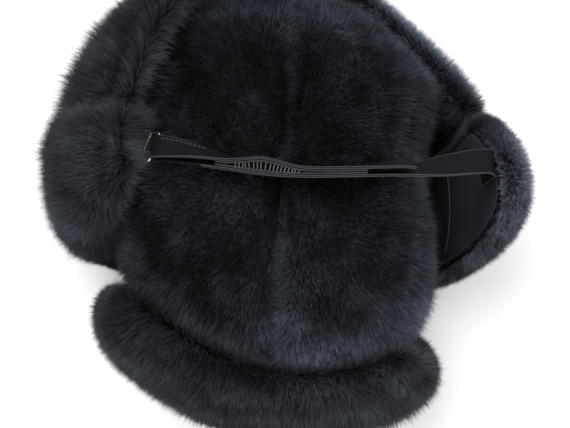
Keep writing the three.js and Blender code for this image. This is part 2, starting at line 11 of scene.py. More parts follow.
import bmesh
import bpy
import numpy as np
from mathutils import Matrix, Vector
from mathutils.bvhtree import BVHTree
from mathutils.kdtree import KDTree


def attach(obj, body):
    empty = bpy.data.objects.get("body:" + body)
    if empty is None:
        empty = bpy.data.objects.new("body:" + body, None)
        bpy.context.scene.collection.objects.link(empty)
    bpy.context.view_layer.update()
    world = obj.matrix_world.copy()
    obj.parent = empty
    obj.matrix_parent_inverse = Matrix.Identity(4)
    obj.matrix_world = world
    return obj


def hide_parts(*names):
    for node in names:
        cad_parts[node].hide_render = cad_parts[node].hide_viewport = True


MM = 0.001
BODY = "root"
WAVES = 9

# Corners of a CAD mesh nearer than SAME_PLACE are one. Relaxing moves each corner in towards its
# neighbours and then out by a little more, so that the piece doesn't shrink.
SAME_PLACE = 0.02 * MM
RELAX_IN, RELAX_OUT = 0.5, -0.53

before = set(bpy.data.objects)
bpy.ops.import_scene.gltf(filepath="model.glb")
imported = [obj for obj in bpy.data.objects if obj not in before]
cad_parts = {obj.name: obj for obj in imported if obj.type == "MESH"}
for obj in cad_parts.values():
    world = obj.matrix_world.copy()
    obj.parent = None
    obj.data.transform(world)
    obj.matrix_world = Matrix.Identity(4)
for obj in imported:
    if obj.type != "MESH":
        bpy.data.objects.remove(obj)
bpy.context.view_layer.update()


# Arrays and meshes


def unit(vectors):
    """The vectors at length 1."""
    return vectors / np.maximum(np.linalg.norm(vectors, axis=-1, keepdims=True), 1e-12)


def along_surface(vectors, normals):
    """What of each vector lies along the surface."""
    return vectors - normals * (vectors * normals).sum(-1, keepdims=True)


def lumps(points, size, seed):
    """Smooth values of about -1 to 1 over space that change over about that size."""
    rng = np.random.default_rng(seed)
    total = np.zeros(len(points))
    for _ in range(WAVES):
        pitch = size * rng.uniform(0.7, 1.8)
        heading = unit(rng.normal(size=3))
        total += np.sin(points @ heading * (math.tau / pitch) + rng.uniform(0, math.tau))
    return np.clip(total / math.sqrt(WAVES), -1.6, 1.6) / 1.2


def new_mesh(name, points, faces, material, smooth=True):
    """An object from arrays of points and of triangles or quads."""
    mesh = bpy.data.meshes.new(name)
    corners = faces.shape[1]
    mesh.vertices.add(len(points))
    mesh.vertices.foreach_set("co", np.ascontiguousarray(points, np.float32).ravel())
    mesh.loops.add(faces.size)
    mesh.loops.foreach_set("vertex_index", np.ascontiguousarray(faces, np.int32).ravel())
    mesh.polygons.add(len(faces))
    mesh.polygons.foreach_set("loop_start", np.arange(0, faces.size, corners, dtype=np.int32))
    mesh.polygons.foreach_set("use_smooth", np.full(len(faces), smooth))
    mesh.update(calc_edges=True)
    mesh.materials.append(material)
    made = bpy.data.objects.new(name, mesh)
    bpy.context.scene.collection.objects.link(made)
    return made


def give_values(piece, **values):
    """Point values that the piece's material reads by name."""
    for name, numbers in values.items():
        layer = piece.data.attributes.new(name, "FLOAT", "POINT")
        layer.data.foreach_set("value", np.ascontiguousarray(numbers, np.float32).ravel())


def dress(piece, node):
    """The piece stands for the CAD node and moves with the hat."""
    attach(piece, BODY)
    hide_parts(node)
    return piece


def neighbour_mean(points, edges):
    """The middle of each point's neighbours."""
    total = np.zeros_like(points)
    count = np.zeros(len(points))
    for here, there in (edges.T, edges.T[::-1]):
        np.add.at(total, here, points[there])
        np.add.at(count, here, 1)
    return total / count[:, None]


class SoftSurface:
    """A CAD node's surface with its facets relaxed and rounded."""

    def __init__(self, node, relax, levels):
        soft = bmesh.new()
        soft.from_mesh(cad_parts[node].data)
        bmesh.ops.remove_doubles(soft, verts=soft.verts, dist=SAME_PLACE)
        edges = np.array([[v.index for v in edge.verts] for edge in soft.edges])
        points = np.array([v.co for v in soft.verts])
        for _ in range(relax):
            for share in (RELAX_IN, RELAX_OUT):
                points += share * (neighbour_mean(points, edges) - points)
        for v, point in zip(soft.verts, points):
            v.co = point
        mesh = bpy.data.meshes.new(f"{node}_soft")
        soft.to_mesh(mesh)
        soft.free()
        carrier = bpy.data.objects.new(f"{node}_soft", mesh)
        bpy.context.scene.collection.objects.link(carrier)
        carrier.modifiers.new("round", "SUBSURF").levels = levels
        rounded = carrier.evaluated_get(bpy.context.evaluated_depsgraph_get()).to_mesh()
        rounded.calc_loop_triangles()
        self.points = read(rounded.vertices, "co", 3)
        self.normals = read(rounded.vertex_normals, "vector", 3)
        self.triangles = read(rounded.loop_triangles, "vertices", 3, np.int32)
        bpy.data.objects.remove(carrier)
        bpy.data.meshes.remove(mesh)

    def centres(self):
        return self.points[self.triangles].mean(1)

    def facings(self):
        return unit(self.normals[self.triangles].mean(1))

    def areas(self):
        a, b, c = np.moveaxis(self.points[self.triangles], 1, 0)
        return np.linalg.norm(np.cross(b - a, c - a), axis=1) / 2


def read(collection, field, width, kind=np.float32):
    values = np.empty(len(collection) * width, kind)
    collection.foreach_get(field, values)
    return values.reshape(-1, width).astype(float if kind is np.float32 else kind)


# Materials


def add_node(tree, kind, inputs=None, **settings):
    """A shader node with its settings, and its inputs as numbers or as links."""
    made = tree.nodes.new(kind)
    for name, value in settings.items():
        setattr(made, name, value)
    for socket, value in (inputs or {}).items():
        if isinstance(value, bpy.types.NodeSocket):
            tree.links.new(value, made.inputs[socket])
        else:
            made.inputs[socket].default_value = value
    return made


def new_group(name, inputs, outputs):
    """An empty node group with named inputs and outputs: its tree, its inputs and its end."""
    tree = bpy.data.node_groups.new(name, "ShaderNodeTree")
    for socket, kind in inputs.items():
        tree.interface.new_socket(socket, in_out="INPUT", socket_type=f"NodeSocket{kind}")
    for socket, kind in outputs.items():
        tree.interface.new_socket(socket, in_out="OUTPUT", socket_type=f"NodeSocket{kind}")
    return tree, tree.nodes.new("NodeGroupInput").outputs, tree.nodes.new("NodeGroupOutput").inputs


def math_node(tree, operation, first, second=0.0, third=0.0):
    inputs = {0: first, 1: second, 2: third}
    return add_node(tree, "ShaderNodeMath", inputs, operation=operation).outputs[0]


def attribute(tree, name):
    return add_node(tree, "ShaderNodeAttribute", attribute_name=name).outputs["Fac"]


def blend_colours(tree, share, first, second, how="MIX"):
    inputs = {"Fac": share, "Color1": first, "Color2": second}
    return add_node(tree, "ShaderNodeMixRGB", inputs, blend_type=how).outputs["Color"]


def make_fibre_tone():
    """A strand's colour from root to tip, darker towards the root as painted shade deep in the
    wool: scaled by its nap value, which holds its own tone with painted sheen, light and shade, and
    a little its own.
    """
    tree, given, result = new_group(
        "fibre_tone",
        {
            "Root": "Color", "Tip": "Color", "Lock Contrast": "Float",
            "Strand Contrast": "Float", "Streak Contrast": "Float",
        },
        {"Color": "Color"},
    )
    # Painted shade: the strand darkens towards its root, deep in the wool.
    reach = math_node(tree, "POWER", attribute(tree, "fibre"), 1.6)
    plain = blend_colours(tree, reach, given["Root"], given["Tip"])
    place = add_node(tree, "ShaderNodeTexCoord").outputs["Object"]
    stretched = add_node(tree, "ShaderNodeMapping", {"Vector": place, "Scale": (1.0, 0.3, 1.0)})
    streaks = add_node(
        tree, "ShaderNodeTexNoise", {"Vector": stretched.outputs[0], "Scale": 95.0, "Detail": 3.0}
    )
    parts = [
        (attribute(tree, "lock"), given["Lock Contrast"]),
        (attribute(tree, "strand"), given["Strand Contrast"]),
        (streaks.outputs["Fac"], given["Streak Contrast"]),
    ]
    # The nap value holds the wool's own tone and its painted sheen, light and shade.
    light = attribute(tree, "nap")
    for value, contrast in parts:
        swing = math_node(tree, "SUBTRACT", value, 0.5)
        share = math_node(tree, "MULTIPLY_ADD", swing, contrast, 1.0)
        light = math_node(tree, "MULTIPLY", share, light)
    grey = add_node(tree, "ShaderNodeCombineColor", {0: light, 1: light, 2: light}).outputs[0]
    tree.links.new(blend_colours(tree, 1.0, plain, grey, "MULTIPLY"), result["Color"])
    return tree


def make_cloth_grain():
    """Fine uneven grain: a height for a bump, and a mask of the grain's brighter parts."""
    tree, given, result = new_group(
        "cloth_grain", {"Size": "Float", "Roughness": "Float"}, {"Height": "Float", "Mask": "Float"}
    )
    place = add_node(tree, "ShaderNodeTexCoord").outputs["Object"]
    scale = math_node(tree, "DIVIDE", 1.0, given["Size"])
    fine = add_node(
        tree, "ShaderNodeTexNoise",
        {"Vector": place, "Scale": scale, "Detail": 5.0, "Roughness": given["Roughness"]},
    ).outputs["Fac"]
    wide = add_node(
        tree, "ShaderNodeTexNoise", {"Vector": place, "Scale": 55.0, "Detail": 2.0}
    ).outputs["Fac"]
    tree.links.new(fine, result["Height"])
    tree.links.new(math_node(tree, "MULTIPLY", fine, wide), result["Mask"])
    return tree


def make_webbing_weave():
    """Woven webbing: slanting picks across the band, and a painted highlight along its edges,
    broken by the picks into dashes.
    """
    tree, given, result = new_group(
        "webbing_weave", {"Pick": "Float"}, {"Height": "Float", "Painted_Edge_Highlight": "Float"}
    )
    along = attribute(tree, "along")
    across = attribute(tree, "across")
    steps = math_node(tree, "DIVIDE", along, given["Pick"])
    slant = math_node(tree, "MULTIPLY_ADD", across, 2.0, steps)
    pick = math_node(tree, "SINE", math_node(tree, "MULTIPLY", slant, math.tau))
    twist = math_node(tree, "MULTIPLY_ADD", pick, 0.25, 0.75)
    # Painted highlight: a thin light line along the band's edges.
    line = math_node(tree, "POWER", attribute(tree, "selvedge"), 2.5)
    tree.links.new(pick, result["Height"])
    tree.links.new(math_node(tree, "MULTIPLY", line, twist), result["Painted_Edge_Highlight"])
    return tree


FIBRE_TONE = make_fibre_tone()
CLOTH_GRAIN = make_cloth_grain()
WEBBING_WEAVE = make_webbing_weave()


def new_material(name, **sockets):
    """A material with one Principled shader, its tree and the shader's inputs."""
    material = bpy.data.materials.new(name)
    material.use_nodes = True
    shader = material.node_tree.nodes["Principled BSDF"]
    for socket, value in sockets.items():
        shader.inputs[socket.replace("_", " ")].default_value = value
    return material, material.node_tree, shader.inputs


def place_group(tree, group, inputs):
    return add_node(tree, "ShaderNodeGroup", inputs, node_tree=group).outputs


def wool_material(name, root, tip, contrast, streak):
    material, tree, shader = new_material(name, Roughness=0.62, Specular_IOR_Level=0.22)
    tone = place_group(
        tree, FIBRE_TONE,
        {
            "Root": root, "Tip": tip, "Lock Contrast": 0.8 * contrast, "Strand Contrast": contrast,
            "Streak Contrast": streak,
        },
    )
    tree.links.new(tone["Color"], shader["Base Color"])
    return material


def facing_material(name, colour, bright):
    material, tree, shader = new_material(name, Roughness=0.66, Specular_IOR_Level=0.2)
    grain = place_group(tree, CLOTH_GRAIN, {"Size": 0.0016, "Roughness": 0.62})
    tree.links.new(blend_colours(tree, grain["Mask"], colour, bright), shader["Base Color"])
    bump = {"Strength": 0.25, "Distance": 0.0003, "Height": grain["Height"]}
    tree.links.new(add_node(tree, "ShaderNodeBump", bump).outputs[0], shader["Normal"])
    return material


def webbing_material(name, colour, edge_highlight_colour):
    material, tree, shader = new_material(name, Roughness=0.65, Specular_IOR_Level=0.1)
    weave = place_group(tree, WEBBING_WEAVE, {"Pick": 0.0011})
    grain = place_group(tree, CLOTH_GRAIN, {"Size": 0.0009, "Roughness": 0.6})
    bright = tuple(2.6 * part for part in colour[:3]) + (1.0,)
    worn = blend_colours(tree, grain["Mask"], colour, bright)
    # The painted highlight along the edges, in the edge colour.
    tree.links.new(blend_colours(tree, weave["Painted_Edge_Highlight"], worn, edge_highlight_colour), shader["Base Color"])
    bump = {"Strength": 0.5, "Distance": 0.0002, "Height": weave["Height"]}
    tree.links.new(add_node(tree, "ShaderNodeBump", bump).outputs[0], shader["Normal"])
    return material


def thread_material(name, colour):
    material, tree, shader = new_material(name, Roughness=0.5, Specular_IOR_Level=0.4)
    grain = place_group(tree, CLOTH_GRAIN, {"Size": 0.0004, "Roughness": 0.5})
    dark = tuple(part * 0.55 for part in colour[:3]) + (1.0,)
    tree.links.new(blend_colours(tree, grain["Height"], dark, colour), shader["Base Color"])
    return material


def brass_material(name):
    material, tree, shader = new_material(name, Metallic=1.0)
    grain = place_group(tree, CLOTH_GRAIN, {"Size": 0.0012, "Roughness": 0.5})
    bright, dull = (0.86, 0.76, 0.52, 1.0), (0.6, 0.5, 0.3, 1.0)
    tree.links.new(blend_colours(tree, grain["Mask"], bright, dull), shader["Base Color"])
    wear = math_node(tree, "MULTIPLY_ADD", grain["Height"], 0.2, 0.16)
    tree.links.new(wear, shader["Roughness"])
    return material


CROWN_WOOL = wool_material(
    "crown wool", (0.006, 0.007, 0.010, 1), (0.062, 0.071, 0.094, 1), contrast=0.7, streak=0.8
)
FLAP_WOOL = wool_material(
    "flap wool", (0.006, 0.007, 0.009, 1), (0.062, 0.069, 0.088, 1), contrast=0.45, streak=0.5
)
BACKING = facing_material("pelt backing", (0.003, 0.003, 0.004, 1), (0.006, 0.006, 0.008, 1))
SMOOTH_FACING = facing_material(
    "smooth facing", (0.016, 0.0165, 0.023, 1), (0.046, 0.047, 0.062, 1)
)
WELT = thread_material("welt", (0.028, 0.028, 0.036, 1))
# The second colour is the painted highlight along the webbing's edges.
WEBBING = webbing_material("strap webbing", (0.0035, 0.0035, 0.0055, 1), (0.15, 0.15, 0.18, 1))
THREAD = thread_material("stitching", (0.12, 0.12, 0.145, 1))
FASTENING = thread_material("hook and loop", (0.03, 0.03, 0.037, 1))
BRASS = brass_material("brass wire")


# Wool


ROOT_DEPTH = 4.5 * MM
BACKING_DEPTH = 5 * MM
FLOOR_CLEARANCE = 0.3 * MM
SHORTEST = 0.6 * MM
STRAY = 0.2
FACING_COVER = 2.2 * MM
CROWN_CORE = np.array([0.0, 0.0, 45 * MM])
CROWN_STRANDS = 175000
BEHIND_FLAPS = 30 * MM
RIM_HEIGHT = 8 * MM

# The crown's seam: its wool closes over it most on the left, as far back as CLOSING_END, and the
# painted shade along its groove is wider and darker behind DEEP_SEAM_START.
SEAM_WOOL = 6 * MM
SEAM_ALLOWANCE = 1.2 * MM
CLOSING_END = 30 * MM
SEAM_SHADE_WIDTH = 3.5 * MM
DEEP_SEAM_START = -35 * MM

# How far a flap's nap leans: outwards anywhere, more on its top and most over its inner edge, and
# up its inside, down its outside. The inner edge's lean is full on the hat's right, from
# HIGH_FLAP_EDGE on, and less than a third of that on its left.
OUTWARD_LEAN, TOP_LEAN, EDGE_LEAN = 0.14, 0.18, 2.0
HIGH_FLAP_EDGE = 40 * MM
UP_INSIDE, DOWN_OUTSIDE = 0.35, 0.15

# The slit between the right ear flap and the neck flap, which runs out from the hat's middle.
SLIT_WOOL = 10 * MM
SLIT_CLOSING = 0.7
SLIT_ANGLE = math.radians(171.7)
ALONG_SLIT = np.array([math.cos(SLIT_ANGLE), math.sin(SLIT_ANGLE), 0])
ACROSS_SLIT = np.array([-math.sin(SLIT_ANGLE), math.cos(SLIT_ANGLE), 0])

# The lock of wool over the ring: its middle and its reach in millimetres, and how it falls.
RING_LOCK = (-92, 3, 133, 12)
RING_LOCK_STRANDS = 3500
RING_LOCK_LENGTH = 6.5 * MM
RING_LOCK_FALL = [0.75, -0.1, 0.2]

# Where the wool is painted lighter, as painted sheen and as painted light over shaded hollows, or
# painted darker as painted shade: the middle of the stretch and its reach in millimetres, and how
# much lighter it is there.
CROWN_PAINTED_LIGHT_AND_SHADE = [
    (12, -124, 112, 15, 1.7), (30, -124, 110, 15, 1.7), (49, -117, 104, 16, 1.5),
    (69, -106, 100, 16, 1.4), (84, -92, 99, 16, 1.3), (93, -76, 96, 15, 0.9),
    (9, -30, 136, 11, 0.7), (9, -53, 133, 11, 0.9), (8, -76, 128, 11, 1.1),
    (8, -99, 120, 12, 1.4), (-49, 104, 118, 18, 0.8), (-26, 101, 123, 18, 0.9),
    (-3, 106, 117, 18, 0.9), (21, 104, 119, 20, 1.3), (-34, -36, 136, 17, 1.0),
    (-22, 31, 138, 9, 0.8), (79, -28, 116, 15, 0.5), (78, 16, 111, 14, 0.3),
    (45, -20, 130, 26, -0.35), (45, 30, 130, 24, -0.25), (-50, 50, 125, 28, -0.3),
    (-60, -70, 115, 30, -0.6), (-88, 70, 116, 20, -0.5), (-78, -87, 101, 16, 0.3),
    (-52, -99, 109, 16, 0.3), (-36, -72, 122, 30, -0.3),
]
FLAP_PAINTED_LIGHT_AND_SHADE = [
    (136, -9, 142, 20, 3.5), (133, -31, 122, 20, 2.6), (128, 14, 138, 20, 2.1),
    (127, -47, 80, 20, 1.2), (60, 127, 93, 24, 2.6), (82, 112, 95, 24, 3.4),
    (104, 88, 97, 24, 2.8), (118, 66, 100, 22, 1.0), (-125, -53, 102, 24, 0.5),
    (-100, 42, 144, 12, 0.3), (-110, -5, 143, 22, 0.3), (-99, -12, 141, 9, 0.9),
    (-80, 84, 140, 13, 0.1), (-86, 60, 141, 13, 0.25), (-91, 35, 141, 12, 0.35),
    (112, 42, 122, 22, -0.6), (96, 50, 100, 22, -0.5), (35, -144, 108, 20, 0.5),
    (71, -142, 102, 22, 0.6), (-80, -110, 114, 24, -0.2), (-56, -103, 113, 18, 0.5),
]

# Where wool stands fuller, or less full: the middle and the reach as above, and by how much.
FULLER = [
    (-138, 75, 90, 45, 5), (-150, 20, 80, 40, 2), (-95, -130, 80, 38, 1),
    (80, -150, 85, 34, 2), (-86, 72, 138, 24, 1.5), (-102, 14, 142, 14, 3.5),
    (-121, -62, 40, 30, -4.5), (-115, -80, 35, 22, -2), (-80, -90, 104, 16, 4),
    (-60, -101, 110, 18, 4), (-38, -112, 112, 18, 3), (100, 62, 93, 20, 4),
]


def nearness(points, x, y, z, reach):
    """1 at a place given in millimetres, and nearly nothing from twice its reach on."""
    away = (points - np.array([x, y, z]) * MM) / (reach * MM)
    return np.exp(-(away**2).sum(1))


def near_seam(points, width):
    """1 on the crown's seam, and nearly nothing from twice the width on."""
    return np.exp(-((points[:, 0] / width) ** 2))


def crown_comb(points, normals):
    """The crown's nap: towards the forehead, and closing over the seam."""
    closing = np.where((points[:, 0] > 0) & (points[:, 1] < CLOSING_END), 0.3, 0.05)
    aside = np.sign(points[:, 0]) * (0.1 - near_seam(points, SEAM_WOOL) * closing)
    return np.stack([aside, np.full(len(points), -0.3), np.full(len(points), -0.1)], 1)


def flap_comb(points, normals):
    """A flap's nap: up the inside, outwards over the free edge, and closing over the slit."""
    outwards = unit(points * [1, 1, 0])
    inward_share = np.clip(-(normals * outwards).sum(1), 0, 1)[:, None]
    up_share = np.clip(normals[:, 2:], 0, 1)
    high_flap = np.clip(-points[:, :1] / HIGH_FLAP_EDGE, 0.3, 1)
    lean = OUTWARD_LEAN + TOP_LEAN * up_share + EDGE_LEAN * high_flap * inward_share * up_share
    rise = np.array([0, 0, 1]) * (UP_INSIDE * inward_share - DOWN_OUTSIDE)
    from_slit = points @ ACROSS_SLIT
    beside_slit = np.exp(-((from_slit / SLIT_WOOL) ** 2)) * (points @ ALONG_SLIT > 0)
    closing = ACROSS_SLIT * (SLIT_CLOSING * np.sign(from_slit) * beside_slit)[:, None]
    return outwards * lean + rise - closing


def ring_comb(points, normals):
    """The wool that falls over the ring."""
    return np.tile(RING_LOCK_FALL, (len(points), 1))


def wool_tone_with_painted_light(points, stretches, seed):
    """How light the wool is from place to place: soft clouds of its own tone, and the painted
    sheen, light and shade of the stretches in the table.
    """
    clouds = np.clip(lumps(points, 20 * MM, seed), -0.9, 1.6)
    tone = 1 + 0.45 * clouds + 0.15 * lumps(points, 6 * MM, seed + 1)
    # Painted sheen, painted light and painted shade from the table.
    for *place, lighter in stretches:
        tone += lighter * nearness(points, *place)
    return np.clip(tone, 0.3, 6)


def crown_tone(points, seed):
    """The crown's wool tone and painted light, with painted shade darkening the groove of the seam.
    """
    # Painted shade along the seam's groove.
    deep = points[:, 1] > DEEP_SEAM_START
    seam_shade = near_seam(points, SEAM_SHADE_WIDTH * np.where(deep, 1.4, 1))
    return wool_tone_with_painted_light(points, CROWN_PAINTED_LIGHT_AND_SHADE, seed) * (1 - seam_shade * np.where(deep, 0.65, 0.35))


# The flap wool's own tone with its painted sheen, light and shade.
def flap_tone(points, seed):
    return wool_tone_with_painted_light(points, FLAP_PAINTED_LIGHT_AND_SHADE, seed)


def crown_wool_side(surface):
    """The outside of a crown panel, without its rim and its seam allowance."""
    centres, facings = surface.centres(), surface.facings()
    outwards = (unit(centres - CROWN_CORE) * facings).sum(1) > 0.1
    allowance = (np.abs(centres[:, 0]) < SEAM_ALLOWANCE) & (np.abs(facings[:, 0]) > 0.8)
    rim = (facings[:, 2] < -0.6) & (centres[:, 2] < RIM_HEIGHT)
    return outwards & ~allowance & ~rim


def flap_wool_side(surface, facing_node):
    """A flap's faces that its smooth facing doesn't cover."""
    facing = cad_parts[facing_node].data
    places = [vertex.co.copy() for vertex in facing.vertices]
    cover = BVHTree.FromPolygons(places, [tuple(face.vertices) for face in facing.polygons])
    near = [cover.find_nearest(Vector(centre))[3] for centre in surface.centres()]
    return np.array(near) > FACING_COVER


def scatter(surface, weight, count, rng):
    """Root points over the weighted faces, with the surface's smooth normals there."""
    share = surface.areas() * weight
    chosen = rng.choice(len(share), count, p=share / share.sum())
    a, b = rng.random((2, count))
    a, b = np.where(a + b > 1, 1 - a, a), np.where(a + b > 1, 1 - b, b)
    parts = np.stack([1 - a - b, a, b], 1)[:, :, None]
    corners = surface.triangles[chosen]
    points = (surface.points[corners] * parts).sum(1)
    normals = unit((surface.normals[corners] * parts).sum(1))
    return points, normals


def lay_nap(points, normals, comb, patch, seed):
    """How far each strand leans: along the comb, and in soft patches each its own way."""
    cloud = lumps(points, 26 * MM, seed + 2) + 0.5 * lumps(points, 9 * MM, seed + 3)
    turn = 1.5 * lumps(points, 30 * MM, seed + 1)[:, None]
    drift = along_surface(np.array([[0.3, -1.0, -0.2]]), normals)
    drift = drift * np.cos(turn) + np.cross(normals, drift) * np.sin(turn)
    combed = along_surface(comb(points, normals), normals)
    return combed + drift * (patch * np.clip(cloud, 0, 1.5))[:, None]


def made_fuller(points, proud):
    """The lengths, longer or shorter where the table says so."""
    for *place, more in FULLER:
        proud = proud + more * MM * nearness(points, *place)
    return proud


def gather_locks(tip, normals, lock_count, rng):
    """The tips drawn together into locks, and the lock that each strand belongs to."""
    leaders = tip[rng.choice(len(tip), lock_count, replace=False)]
    tree = KDTree(lock_count)
    for index, leader in enumerate(leaders):
        tree.insert(leader, index)
    tree.balance()
    lock = np.array([tree.find(point)[1] for point in tip])
    pull = (0.45 * rng.random(lock_count) ** 2)[lock][:, None]
    rise = 0.25 * MM * rng.normal(size=lock_count)[lock][:, None]
    return tip + (leaders[lock] - tip) * pull + normals * rise, lock


def strand_mesh(name, root, tip, half_width, material, rng):
    """Strands as flat triangles that narrow to the tip, each turned its own way."""
    side = unit(np.cross(tip - root, rng.normal(size=root.shape))) * half_width
    corners = np.stack([root - side, root + side, tip], 1)
    corners[:, :, 2] = np.maximum(corners[:, :, 2], FLOOR_CLEARANCE)
    faces = np.arange(len(root) * 3).reshape(-1, 3)
    return new_mesh(name, corners.reshape(-1, 3), faces, material, smooth=False)


def grow_wool(name, node, surface, weight, count, seed, comb, tone, material,
              top, side, fringe, patch=0.3, lock_size=2.4 * MM, width=0.4 * MM):
    """Strands rooted under the surface, nearly upright, with the nap laid over in soft patches.

    They stand proud by the length top where the pelt faces up and side where it faces sideways.
    """
    rng = np.random.default_rng(seed)
    points, normals = scatter(surface, weight, count, rng)
    nap = lay_nap(points, normals, comb, patch, seed)
    stray = rng.normal(size=(count, 3)) * STRAY
    aside = 1 - np.clip(normals[:, 2], 0, 1)
    long_hair = 1 + fringe * aside * rng.random(count) ** 3
    uneven = 1 + 0.12 * lumps(points, 14 * MM, seed + 4)
    proud = made_fuller(points, top + (side - top) * aside) * (long_hair * uneven)
    length = ROOT_DEPTH + np.maximum(proud, SHORTEST)
    length = length * (1 + 0.08 * rng.normal(size=count))
    root = points - normals * ROOT_DEPTH
    tip = root + (normals + stray + nap) * length[:, None]

    lock_count = max(8, int(surface.areas()[weight > 0].sum() / lock_size**2))
    tip, lock = gather_locks(tip, normals, lock_count, rng)
    widths = width * (0.7 + 0.6 * rng.random(count))[:, None]
    wool = strand_mesh(name, root, tip, widths / 2, material, rng)
    give_values(
        wool,
        # nap: the wool's own tone with its painted sheen, light and shade.
        nap=np.repeat(tone(points, seed + 5), 3),
        fibre=np.tile([0.0, 0.0, 1.0], count),
        lock=np.repeat(rng.random(lock_count)[lock], 3),
        strand=np.repeat(rng.random(count), 3),
    )
    lay_out_strands(wool, count)
    return dress(wool, node)


def lay_out_strands(wool, count):
    """A UV map in which every strand has a cell of its own."""
    side = math.ceil(math.sqrt(count))
    low = np.stack([np.arange(count) % side, np.arange(count) // side], 1) / side
    inside = np.array([[0.1, 0.1], [0.9, 0.1], [0.5, 0.9]]) / side
    places = low[:, None, :] + inside[None]
    layer = wool.data.uv_layers.new(name="OFBake")
    layer.uv.foreach_set("vector", places.astype(np.float32).ravel())


def lay_backing(name, node, surface, woolly):
    """The pelt under the wool: the CAD surface, set in where wool grows on it."""
    inset = np.zeros(len(surface.points))
    inset[np.unique(surface.triangles[woolly])] = BACKING_DEPTH
    points = surface.points - surface.normals * inset[:, None]
    points[:, 2] = np.maximum(points[:, 2], 0)
    return dress(new_mesh(name, points, surface.triangles, BACKING), node)


def crown_panel(node, name, seed):
    """A crown panel: dense beside the seam, and sparse low down, where the flaps hide it."""
    surface = SoftSurface(node, relax=2, levels=1)
    woolly = crown_wool_side(surface)
    centres = surface.centres()
    hidden = np.where(centres[:, 2] < BEHIND_FLAPS, 0.25, 1.0)
    weight = woolly * hidden * (1 + 0.8 * near_seam(centres, SEAM_WOOL))
    lay_backing(f"{name}_backing", node, surface, woolly)
    grow_wool(f"{name}_wool", node, surface, weight, CROWN_STRANDS, seed,
              crown_comb, crown_tone, CROWN_WOOL,
              top=1.3 * MM, side=5.5 * MM, fringe=0.4, width=0.34 * MM)


def flap(node, count, seed, side):
    """A flap, sparse underneath: its surface and which of its faces grow wool."""
    surface = SoftSurface(node, relax=2, levels=1)
    woolly = flap_wool_side(surface, f"{node}_facing")
    facing_down = surface.facings()[:, 2] < -0.7
    weight = woolly * np.where(facing_down, 0.35, 1.0)
    lay_backing(f"{node}_backing", node, surface, woolly)
    grow_wool(f"{node}_wool", node, surface, weight, count, seed,
              flap_comb, flap_tone, FLAP_WOOL,
              top=2.1 * MM, side=side, fringe=1.0, patch=0.18, lock_size=2.6 * MM)
    return surface, woolly


def ring_lock(surface, woolly):
    """The longer wool that falls over the ring from the right ear flap's free edge."""
    centres = surface.centres()
    near_ring = nearness(centres, *RING_LOCK)
    facing_away = (surface.facings() * unit(centres)).sum(1) > 0.6
    near_ring[(near_ring < 0.1) | facing_away] = 0
    grow_wool("right_ear_flap_ring_lock", "right_ear_flap", surface, woolly * near_ring,
              RING_LOCK_STRANDS, 67, ring_comb, flap_tone, FLAP_WOOL,
              top=RING_LOCK_LENGTH, side=RING_LOCK_LENGTH, fringe=0.3)


def smooth_copy(node, name, material, levels=2):
    """The CAD piece with its facets rounded."""
    surface = SoftSurface(node, relax=0, levels=levels)
    return dress(new_mesh(name, surface.points, surface.triangles, material), node)


crown_panel("crown_left_panel", "crown_left", 11)
crown_panel("crown_right_panel", "crown_right", 23)
flap("front_flap", 140000, 31, side=2.5 * MM)
flap("left_ear_flap", 80000, 47, side=1 * MM)
flap("neck_flap", 145000, 59, side=3.5 * MM)
ring_lock(*flap("right_ear_flap", 95000, 61, side=5 * MM))
for flap_node in ("front_flap", "left_ear_flap", "neck_flap", "right_ear_flap"):
    smooth_copy(f"{flap_node}_facing", f"{flap_node}_smooth_facing", SMOOTH_FACING)
smooth_copy("left_ear_flap_welt", "left_ear_flap_cord", WELT, levels=1)
smooth_copy("strap_ring", "wire_ring", BRASS, levels=1)


# Webbing


# A corner between a band's ends has at least this many neighbours.
BETWEEN_ENDS = 6
SECTION_PITCH = 1.0 * MM
# On the lower layer near the ring, as far as DARK_EDGE_END, the painted edge highlight is dimmed to
# DARK_EDGE as painted shade under the upper layer.
DARK_EDGE_END = -46 * MM
DARK_EDGE = 0.1


def band_rings(node):
    """The sections of a CAD band in order from one end, four matching corners each."""
    soft = bmesh.new()
    soft.from_mesh(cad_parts[node].data)
    bmesh.ops.remove_doubles(soft, verts=soft.verts, dist=SAME_PLACE)
    neighbours = {v.index: {e.other_vert(v).index for e in v.link_edges} for v in soft.verts}
    places = [np.array(v.co) for v in soft.verts]
    soft.free()
    ends = {v for v, near in neighbours.items() if len(near) < BETWEEN_ENDS}
    first = max(ends, key=lambda v: places[v][0])
    ring = {first}
    while len(ring) < 4:
        ring |= {n for v in ring for n in neighbours[v]} & ends
    ring = in_order_round([first, *(ring - {first})], places)
    rings, seen = [ring], set(ring)
    while True:
        found = {n for v in ring for n in neighbours[v]} - seen
        if len(found) != 4:
            break
        ring = nearest_order(found, ring, places)
        rings.append(ring)
        seen |= found
    return np.array([[places[v] for v in ring] for ring in rings])


def in_order_round(corners, places):
    """Four corners of a flat section: along one long side, then back along the other."""
    a = corners[0]
    near, middle, far = sorted(corners[1:], key=lambda v: np.linalg.norm(places[v] - places[a]))
    return [a, middle, far, near]


def nearest_order(corners, ring, places):
    """The corners in the order that matches them to the section before."""
    def apart(order):
        return sum(np.linalg.norm(places[a] - places[b]) for a, b in zip(order, ring))

    return min(itertools.permutations(corners), key=apart)


